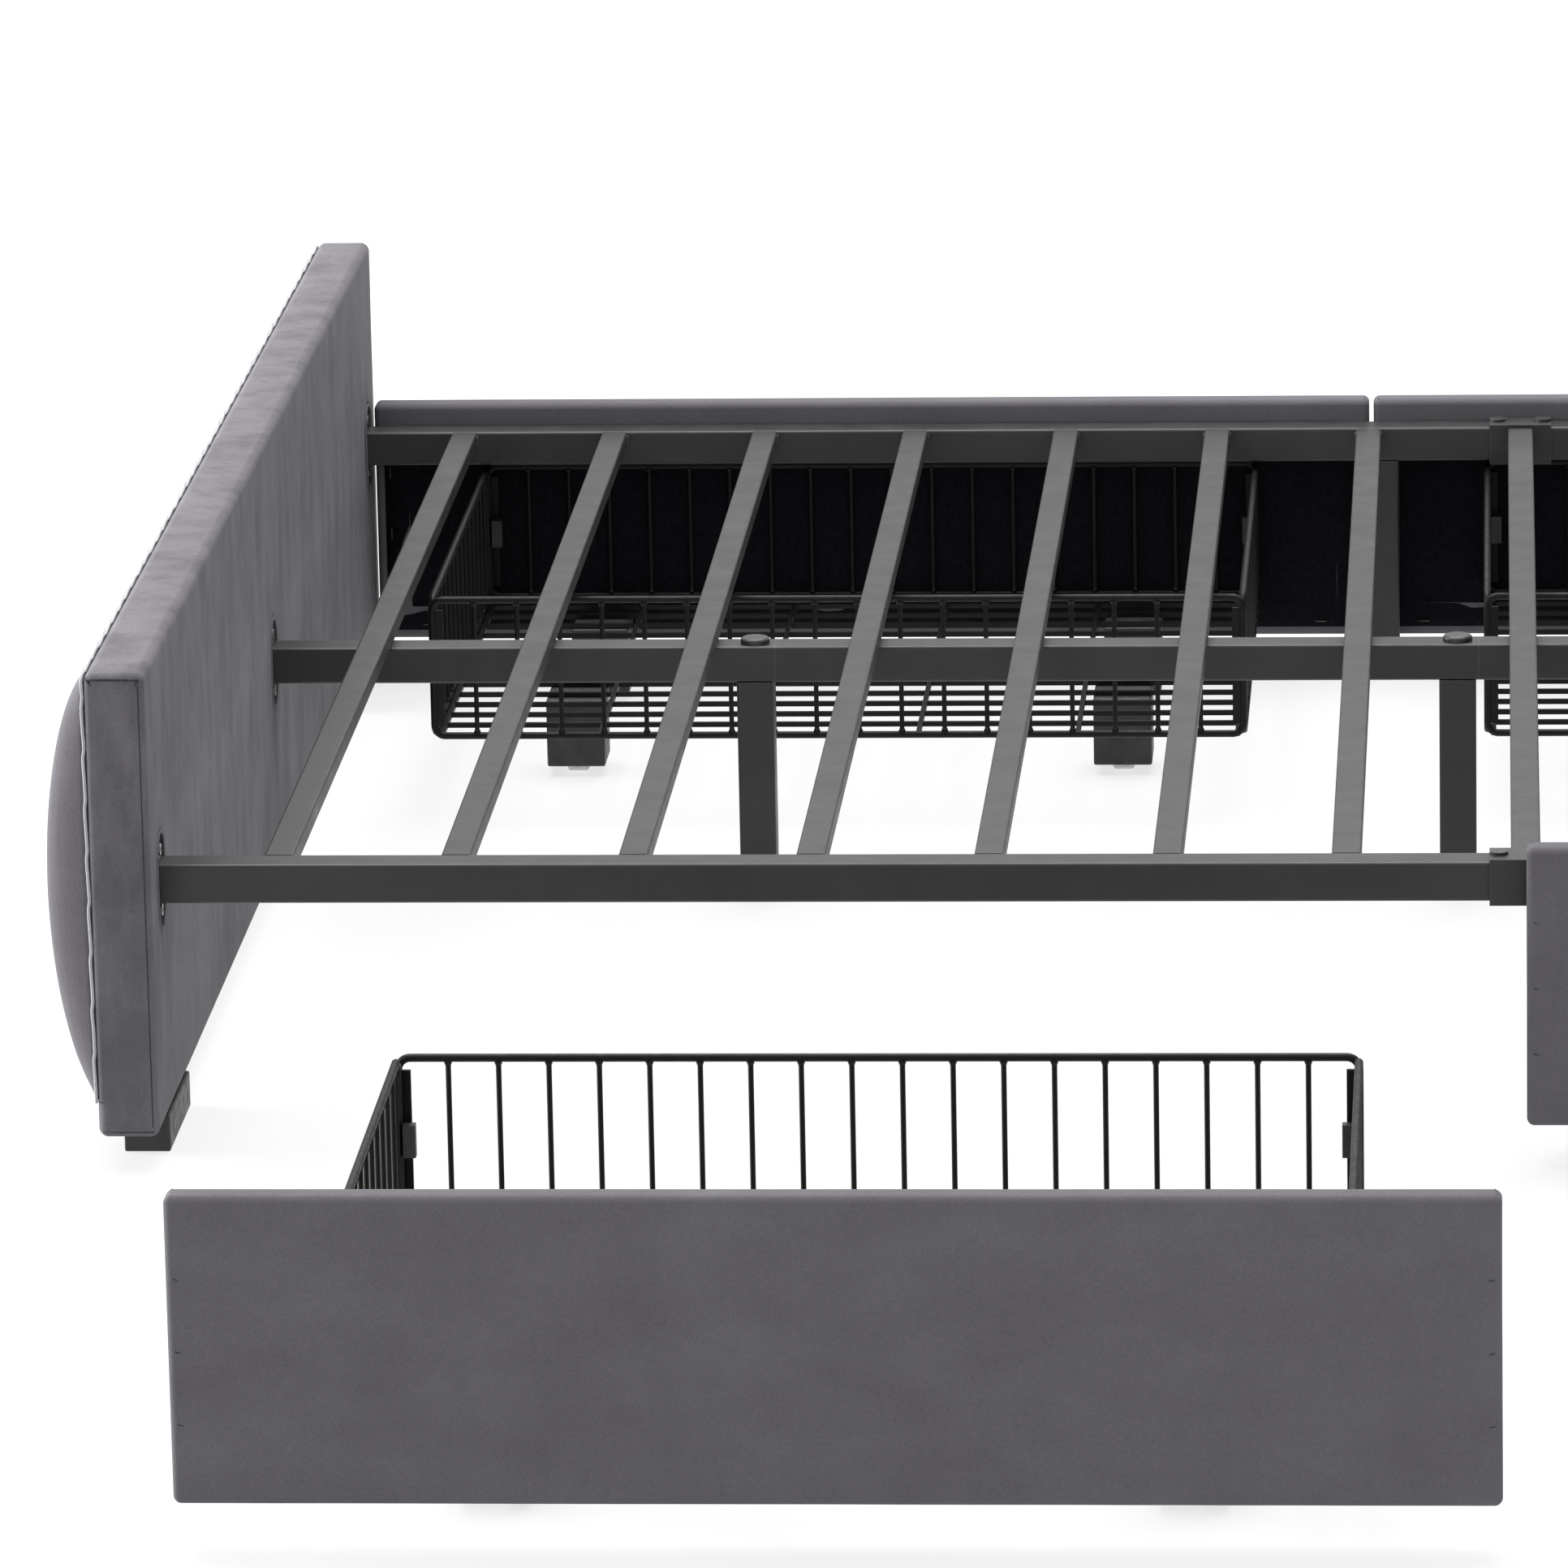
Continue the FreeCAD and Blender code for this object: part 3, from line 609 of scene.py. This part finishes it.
def channelled_pad(name):
    """One pad with its channel seams and stitches."""
    low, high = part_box(name)
    y1 = high.y
    channels = round(2 * y1 / channel_pitch)
    pitch = 2 * y1 / channels
    pad = new_piece(name + "_channelled", pad_shape(high.x, high.x - low.x, y1, low.z, high.z, channels),
                    smooth_velvet, "bed")

    def sewn(at):
        to_edge = min(at.z - low.z, high.z - at.z, y1 - abs(at.y))
        place = (at.y + y1) / pitch
        to_seam = abs(place - round(place)) * pitch
        at_seam = to_seam < sewn_seam and 0 < round(place) < channels
        return 1.0 if at.x > high.x - sewn_back or to_edge < sewn_edge or at_seam else 0.0

    swollen(pad, sewn, (low, high))
    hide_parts(name)
    surface = BVHTree.FromPolygons([v.co for v in pad.data.vertices],
                                   [list(p.vertices) for p in pad.data.polygons])
    seams, threads = bmesh.new(), bmesh.new()
    for k in range(1, channels):
        y = -y1 + k * pitch
        line = []
        count = int((high.z - low.z - 2 * seam_end_room) / seam_step)
        for z in [low.z + seam_end_room + i * seam_step for i in range(count + 1)]:
            hit = surface.ray_cast(Vector((low.x - 0.1, y, z)), Vector((1, 0, 0)))[0]
            if hit is not None:
                line.append(hit + Vector((0.0003, 0, 0)))
        bead(seams, line, 0.0008, 5, across=Vector((0, 1, 0)))
        stitch_row(threads, [p - Vector((0.0008, 0, 0)) for p in line[::2]], 0.0075, 0.0052, 0.0006,
                   Vector((0, 1, 0)))
    # The seam beads are near-black: painted shade in the dips between the channels.
    new_piece(name + "_seams", seams, painted_crease_shade, "bed")
    new_piece(name + "_threads", threads, thread, "bed")
    return low, high


# The welt is the pads' grey velvet made about three times lighter: painted highlight for the light that its
# rolled edge catches.
painted_highlight_velvet = velvet("welt_highlight_velvet", (0.30, 0.295, 0.305), (0.42, 0.415, 0.425), 0.0, 1.6)


def welt(name, back_x, y1, z0, z1):
    """The folded strip round a pad, drawn in the lighter velvet as a painted highlight. It is stapled every
    few centimetres and kinks a little there.
    """
    mesh = bmesh.new()
    outline = [Vector((back_x, s * y1, z)) for s, z in ((-1, z0), (-1, z1), (1, z1), (1, z0))]
    points = walk(outline + outline[:1], welt_kink_pitch / 6)[:-1]
    centre = Vector((back_x, 0, (z0 + z1) / 2))
    wavy = []
    for i, p in enumerate(points):
        kink = (i % 6) / 6
        inwards = (centre - p).normalized()
        push = kink if kink < 0.8 else 4 * (1 - kink)
        wavy.append(p + Vector((-0.0005 - welt_kink * push, 0, 0)) + inwards * 0.0003 * push
                    + Vector((-1, 0, 0)) * 0.0004 * noise.noise(p * 45.0))
    bead(mesh, wavy, welt_round, 8, closed=True, flatten=1.2)
    new_piece(name, mesh, painted_highlight_velvet, "bed")


pad_low, pad_high = channelled_pad("footboard_pad")
welt("footboard_welt", pad_high.x, foot_high.y - 0.0005, pad_low.z - 0.001, pad_high.z + 0.001)

# ------------------------------------------------------------------ headboard
# The headboard is made like the footboard but taller and thicker. Its channelled pad faces the bed and
# stops above the drawers, where the plain cover carries on down to the feet.
head_bed_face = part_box("headboard_cover")[0].x
head_low, head_high = board_cover("headboard_cover", head_bed_face, -1, 4.1)
parcel_ends("headboard_end", head_low, head_high)
board_feet("headboard_feet", 8.0)
pad_low, pad_high = channelled_pad("headboard_pad")
welt("headboard_welt", pad_high.x, head_high.y - 0.0005, pad_low.z - 0.001, pad_high.z + 0.001)

# ------------------------------------------------------------------ steel frame
# Rails, slats, legs, sleeves and end plates are square and flat steel, welded and powder-coated dark
# grey. The coating has a fine orange-peel surface, and its colour is painted lighter along the edges: a
# painted highlight where they catch the light.
steel_dark, steel_light = 0.009, 0.015
highlight_reach = 0.0016


def coated_steel(name, dark, light, gloss, edge_highlight_tone):
    """Powder coat over steel; its colour is raised by the edge tone along its edges, a painted highlight."""
    finish, tree, shader = new_finish(name)
    body_tone = shades(tree, mottle(tree, 14.0, detail=5.0), (0.30, dark), (0.70, light))
    fleck = shades(tree, mottle(tree, 800.0, detail=1.0), (0.35, 0.80), (0.65, 1.0))
    tone = blend_tones(tree, body_tone, fleck)
    rounded = add(tree, "ShaderNodeBevel", samples=4)
    rounded.inputs["Radius"].default_value = highlight_reach
    shape = add(tree, "ShaderNodeNewGeometry")
    match = add(tree, "ShaderNodeVectorMath", operation="DOT_PRODUCT")
    tree.links.new(rounded.outputs["Normal"], match.inputs[0])
    tree.links.new(shape.outputs["True Normal"], match.inputs[1])
    # Painted highlight: where the bevelled normal turns away from the true normal, the edge tone is added to
    # the colour.
    edge = shades(tree, match.outputs["Value"], (0.86, edge_highlight_tone), (0.985, 0.0))
    tree.links.new(blend_tones(tree, tone, edge, "ADD"), shader.inputs["Base Color"])
    rub = shades(tree, mottle(tree, 30.0, detail=6.0), (0.30, gloss), (0.70, gloss + 0.12))
    tree.links.new(rub, shader.inputs["Roughness"])
    relief(tree, shader, mottle(tree, 520.0, detail=2.0), 0.00025, 0.35)
    return finish


steel = coated_steel("coated_steel", steel_dark, steel_light, 0.40, 0.03)
paint(steel, "near_rail_foot", "near_rail_head", "far_rail_foot", "far_rail_head", "centre_rail_foot",
      "centre_rail_head", "rail_end_plates", "rail_joint_sleeves", "near_leg", "far_leg", "centre_legs",
      "foot_slats", "head_slats")

# ------------------------------------------------------------------ welds
# Fillet welds join the rails to their end plates, and short welds hold each slat between the side
# rails. They are under the same coating and ripple where the torch paused.
weld_round = 0.0016
weld_ripple = 0.0032
weld_end_room = 0.003
plate_thick = 0.004
slat_width = 0.022
slat_pitch = 0.1335


def weld(mesh, points, across):
    """One run of weld with its ripples."""
    ripples = walk(points, weld_ripple / 2)
    sizes = [weld_round * (1.0 + 0.18 * (i % 2)) for i in range(len(ripples))]
    sizes[0] = sizes[-1] = weld_round * 0.4
    bead(mesh, ripples, sizes, 6, across=across)


welds = bmesh.new()
half = rail_size / 2
run = half - weld_end_room
for plate_face in (plate_lo.x + plate_thick, plate_hi.x - plate_thick):
    for y, z in rail_seats:
        for side in (-1, 1):
            weld(welds, [Vector((plate_face, y + side * half, z + s * run)) for s in (-1, 1)],
                 Vector((0, 1, 0)))
        for side in (-1, 1):
            weld(welds, [Vector((plate_face, y + s * run, z + side * half)) for s in (-1, 1)],
                 Vector((0, 0, 1)))
for low, high in (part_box("foot_slats"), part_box("head_slats")):
    count = round((high.x - low.x - slat_width) / slat_pitch)
    for k in range(count + 1):
        x = low.x + slat_width / 2 + k * slat_pitch
        for y in (-high.y, high.y):
            for edge in (x - slat_width / 2, x + slat_width / 2):
                ends = [Vector((edge, y, z)) for z in (low.z + 0.002, high.z - weld_end_room)]
                weld(welds, ends, Vector((1, 0, 0)))
new_piece("frame_welds", welds, steel, "bed")

# ------------------------------------------------------------------ bolts and leg caps
# Zinc-plated screws hold the end plates, black domed bolts hold the legs and the sleeves, and each
# leg stands in a moulded cap.
zinc, zinc_tree, zinc_shader = new_finish("zinc_plate")
zinc_tone = shades(zinc_tree, mottle(zinc_tree, 300.0, detail=4.0), (0.35, (0.34, 0.34, 0.35)),
                   (0.65, (0.52, 0.52, 0.54)))
zinc_tree.links.new(zinc_tone, zinc_shader.inputs["Base Color"])
set_shader(zinc_shader, metallic=1.0, roughness=0.35)
relief(zinc_tree, zinc_shader, mottle(zinc_tree, 1200.0), 0.0002, 0.3)
black_bolt = coated_steel("blacked_steel", 0.012, 0.020, 0.34, 0.05)
screw_head_height = 0.003
screw_head_radius = 0.0045
screw_slot = 0.0026     # half the length of the cross's arms
paint(zinc, "end_plate_bolts")
paint(black_bolt, "joint_bolts", "leg_bolts")
paint(black_plastic, "leg_caps")


def cross_recess(mesh, centre, up, across, size):
    """The cross slot in a screw's head, as two crossed thin plates in a near-black finish: painted shade
    where the slot lies in shadow.
    """
    other = up.cross(across).normalized()
    for a, b in ((across, other), (other, across)):
        ring = [centre + a * (s * size) + b * (t * size * 0.22) + up * 0.0002
                for s, t in ((-1, -1), (1, -1), (1, 1), (-1, 1))]
        low = [p - up * 0.0003 for p in ring]
        upper, lower = [mesh.verts.new(p) for p in ring], [mesh.verts.new(p) for p in low]
        mesh.faces.new(upper)
        mesh.faces.new(lower[::-1])
        for i in range(4):
            mesh.faces.new((upper[i], upper[(i + 1) % 4], lower[(i + 1) % 4], lower[i]))


slot_shades = bmesh.new()
bolt_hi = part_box("end_plate_bolts")[1]
plate_head = plate_thick + screw_head_height
for head_x, out in ((plate_lo.x + plate_head, 1), (plate_hi.x - plate_head, -1)):
    for y, z in rail_seats:
        for s in (-1, 1):
            at = Vector((head_x, y, z + s * (bolt_hi.z - screw_head_radius - rail_middle)))
            cross_recess(slot_shades, at, Vector((out, 0, 0)), Vector((0, 1, 0)), screw_slot)
# The cross slots are near-black: painted shade in the screws' heads.
new_piece("screw_slot_shade", slot_shades, painted_crease_shade, "bed", smooth=False)

# ------------------------------------------------------------------ drawer fronts
# Each front is a fibreboard panel. Velvet is drawn round it and stapled to its back, and a black
# non-woven lining covers the middle of the back.
front_round = 0.0055
front_grid = 0.012
front_puff = 0.0008
front_wrap = 0.032
front_cloth = 0.0012
tick_pitch = 0.052
lining, lining_tree, lining_shader = new_finish("black_lining")
lining_tone = shades(lining_tree, mottle(lining_tree, 260.0, (1.0, 1.0, 0.6), 4.0),
                     (0.35, (0.0020, 0.0017, 0.0030)), (0.65, (0.0050, 0.0042, 0.0070)))
lining_tree.links.new(lining_tone, lining_shader.inputs["Base Color"])
set_shader(lining_shader, roughness=0.95)
lining_shader.inputs["Specular IOR Level"].default_value = 0.12
relief(lining_tree, lining_shader, mottle(lining_tree, 500.0, (1.0, 1.0, 0.5), 3.0), 0.0005, 0.5)

staple_pitch = 0.06
staple_reach = 0.005
staple_lift = 0.0010
staple_inset = 0.005
lining_border = 0.008
lining_top_gap = 0.002
lining_thick = 0.0004
lining_grid = 0.03
lining_step = 0.003     # half the width of its step down from the velvet to the board
drawers = {"near_foot": -1, "near_head": -1, "far_foot": 1, "far_head": 1}


def grid_across(low, high, steps):
    """Grid lines for the lining: close together where it steps down from the velvet to the board."""
    marks = [low] + [s + d for s in steps for d in (-lining_step, 0.0, lining_step)] + [high]
    places = []
    for a, b in zip(marks, marks[1:]):
        places += [p.x for p in walk([Vector((a, 0, 0)), Vector((b, 0, 0))], lining_grid)[:-1]]
    return places + [high]


def black_sheet(xs, zs, window, outer_y, inner_y):
    """The lining before it has any thickness, lying on the folded velvet round its edge and on the board
    inside that."""
    mesh = bmesh.new()
    rows = []
    for x in xs:
        rows.append([])
        for z in zs:
            depth = min(x - window[0], window[1] - x, z - window[2]) / lining_step
            share = min(max(depth / 2 + 0.5, 0.0), 1.0)
            rows[-1].append(mesh.verts.new((x, outer_y + (inner_y - outer_y) * share, z)))
    for i in range(len(xs) - 1):
        for j in range(len(zs) - 1):
            mesh.faces.new((rows[i][j], rows[i + 1][j], rows[i + 1][j + 1], rows[i][j + 1]))
    return mesh


def drawer_front(drawer, out, seed):
    """One front: its velvet with the corner folds, its lining and the staples. out is the way it faces."""
    body = drawer + "_drawer"
    low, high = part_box(drawer + "_front_cover")
    face, back = (low.y, high.y) if out < 0 else (high.y, low.y)

    def bare(at):
        inside = min(at[0] - low.x, high.x - at[0], at[2] - low.z, high.z - at[2])
        return abs(at[1] - back) < 1e-5 and inside > front_wrap

    cloth = wrapped_block(low, high, front_round, front_grid, front_puff, seed, bare)
    front = new_piece(drawer + "_front_velvet", cloth, smooth_velvet, body)
    skin = front.modifiers.new("cloth_thickness", "SOLIDIFY")
    skin.thickness = front_cloth
    skin.offset = -1.0
    baked(front)
    front.data.polygons.foreach_set("use_smooth", [True] * len(front.data.polygons))
    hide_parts(drawer + "_front_cover")
    paint(lining, drawer + "_front_board")

    crease_shades, staples = bmesh.new(), bmesh.new()
    for sx, x in ((-1, low.x), (1, high.x)):
        edge_x = x - sx * 0.0050
        line = [Vector((edge_x, face + out * 0.0001, z)) for z in (high.z - 0.006, low.z + 0.006)]
        for p in walk(line, tick_pitch)[1:-1]:
            tick = [p, p + Vector((-sx * 0.0016, 0, -0.0006)), p + Vector((-sx * 0.0042, 0, -0.0008))]
            bead(crease_shades, tick, [0.0004, 0.0004, 0.0002], 5, across=Vector((0, 1, 0)))
        corner = [Vector((x - sx * 0.0008, face - out * 0.004, high.z - 0.0045)),
                  Vector((x - sx * 0.0030, face - out * 0.007, high.z - 0.0012)),
                  Vector((x - sx * 0.0045, back + out * 0.004, high.z - 0.0002))]
        bead(crease_shades, corner, 0.0005, 5, across=Vector((1, 0, 0)))
    x0, x1 = low.x + lining_border, high.x - lining_border
    z0, z1 = low.z + lining_border, high.z - front_wrap - lining_top_gap
    window = (low.x + front_wrap, high.x - front_wrap, low.z + front_wrap)
    panel_low, panel_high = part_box(drawer + "_front_board")
    board_back = panel_high.y if out < 0 else panel_low.y
    sheet = black_sheet(grid_across(x0, x1, window[:2]), grid_across(z0, z1, window[2:]), window,
                        back - out * 0.0005, board_back - out * 0.0001)
    covering = new_piece(drawer + "_front_lining", sheet, lining, body)
    thick_lining = covering.modifiers.new("thickness", "SOLIDIFY")
    thick_lining.thickness = lining_thick
    thick_lining.offset = 0.0
    baked(covering)
    lift = Vector((0, -out * staple_lift, 0))
    edge_y = back - out * 0.0006
    left, right, lowest = x0 + staple_inset, x1 - staple_inset, z0 + staple_inset
    hem = [Vector((x, edge_y, z)) for x, z in ((left, z1), (left, lowest), (right, lowest), (right, z1))]
    for a, b in zip(hem, hem[1:]):
        spots = walk([a, b], staple_pitch)
        for p, q in zip(spots, spots[1:]):
            along = (q - p).normalized() * staple_reach
            m = (p + q) / 2
            bead(staples, [m - along, m - along * 0.8 + lift, m + along * 0.8 + lift, m + along], 0.0005, 5,
                 across=Vector((0, 1, 0)))
    # The fold ticks and corner beads are near-black: painted shade in the folds.
    new_piece(drawer + "_front_fold_shades", crease_shades, painted_crease_shade, body)
    new_piece(drawer + "_front_staples", staples, black_bolt, body)


for number, (drawer, out) in enumerate(drawers.items()):
    drawer_front(drawer, out, 11.0 + 3.0 * number)

# ------------------------------------------------------------------ wire baskets
# Each basket is five flat panels of welded round wire, dipped in black paint. The uprights are welded
# inside the rim wire, and every joint has a small nugget of weld.
wire_paint, wire_tree, wire_shader = new_finish("black_wire")
wire_tone = shades(wire_tree, mottle(wire_tree, 60.0, detail=4.0), (0.35, 0.0012), (0.65, 0.0030))
wire_tree.links.new(wire_tone, wire_shader.inputs["Base Color"])
wire_gloss = shades(wire_tree, mottle(wire_tree, 110.0, detail=4.0), (0.35, 0.40), (0.65, 0.55))
wire_shader.inputs["Specular IOR Level"].default_value = 0.22
wire_tree.links.new(wire_gloss, wire_shader.inputs["Roughness"])
relief(wire_tree, wire_shader, mottle(wire_tree, 650.0), 0.0002, 0.4)
wire_pitch = 0.036
rim_thick = 0.006
post_room = 0.012
wall_gap = 0.0002       # between two walls where they are clipped together
weld_length = 0.0042
weld_from_rim = 0.0018


def nugget(mesh, centre, up, length):
    """A small flare of weld round the end of an upright."""
    points = [centre, centre + up * length * 0.4, centre + up * length]
    bead(mesh, points, [0.0034, 0.0029, 0.0020], 7, across=Vector((0.3, 1, 0)))


def basket(drawer):
    """The finish of a basket's wires and the welds at the ends of its uprights."""
    body = drawer + "_drawer"
    low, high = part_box(drawer + "_basket_walls")
    paint(wire_paint, drawer + "_basket_walls", drawer + "_basket_floor")
    mesh = bmesh.new()
    inset = rim_thick / 2
    middle = (low + high) / 2
    for axis, other in ((0, 1), (1, 0)):
        length = high[axis] - low[axis] - (0.0 if axis == 0 else 2 * (rim_thick + wall_gap))
        count = int((length - 2 * post_room) / wire_pitch + 1e-6)
        for end in (low[other] + inset, high[other] - inset):
            for k in range(count):
                at = Vector((0, 0, 0))
                at[axis] = middle[axis] + (k - (count - 1) / 2) * wire_pitch
                at[other] = end
                for z, up in ((high.z - inset, -1), (low.z + inset, 1)):
                    start = Vector((at.x, at.y, z + up * weld_from_rim))
                    nugget(mesh, start, Vector((0, 0, up)), weld_length)
    new_piece(drawer + "_wire_welds", mesh, wire_paint, body)


for drawer in drawers:
    basket(drawer)

# ------------------------------------------------------------------ clips and casters
# Moulded clips lock the basket's walls together at the corners. Four fixed casters carry the drawer:
# black housings with pale nylon wheels on steel pins.
nylon, nylon_tree, nylon_shader = new_finish("pale_nylon")
nylon_tone = shades(nylon_tree, mottle(nylon_tree, 90.0, detail=5.0), (0.35, (0.38, 0.38, 0.37)),
                    (0.65, (0.52, 0.52, 0.50)))
nylon_tree.links.new(nylon_tone, nylon_shader.inputs["Base Color"])
set_shader(nylon_shader, roughness=0.45, subsurface_weight=0.05)
relief(nylon_tree, nylon_shader, mottle(nylon_tree, 400.0), 0.0003, 0.3)
wheel_width = 0.018
ring_radii = (0.008, 0.0165)
ring_round = 0.0009
ring_points = 24


def hub_ring(mesh, centre, x, radius):
    """A raised ring on a wheel's side."""
    points = [Vector((x, centre.y + radius * math.cos(a), centre.z + radius * math.sin(a)))
              for a in (2 * math.pi * i / ring_points for i in range(ring_points))]
    bead(mesh, points, ring_round, 6, closed=True)


for drawer in drawers:
    paint(black_plastic, drawer + "_basket_clips", drawer + "_casters")
    for pair in ("front", "back"):
        node = drawer + "_" + pair + "_wheels"
        paint(nylon, node)
        low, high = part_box(node)
        rings = bmesh.new()
        for x0 in (low.x, high.x - wheel_width):
            for x in (x0, x0 + wheel_width):
                for radius in ring_radii:
                    hub_ring(rings, (low + high) / 2, x, radius)
        new_piece(node + "_rings", rings, nylon, drawer + "_" + pair + "_wheel_pair")

# ------------------------------------------------------------------ final update of the scene
bpy.context.view_layer.update()
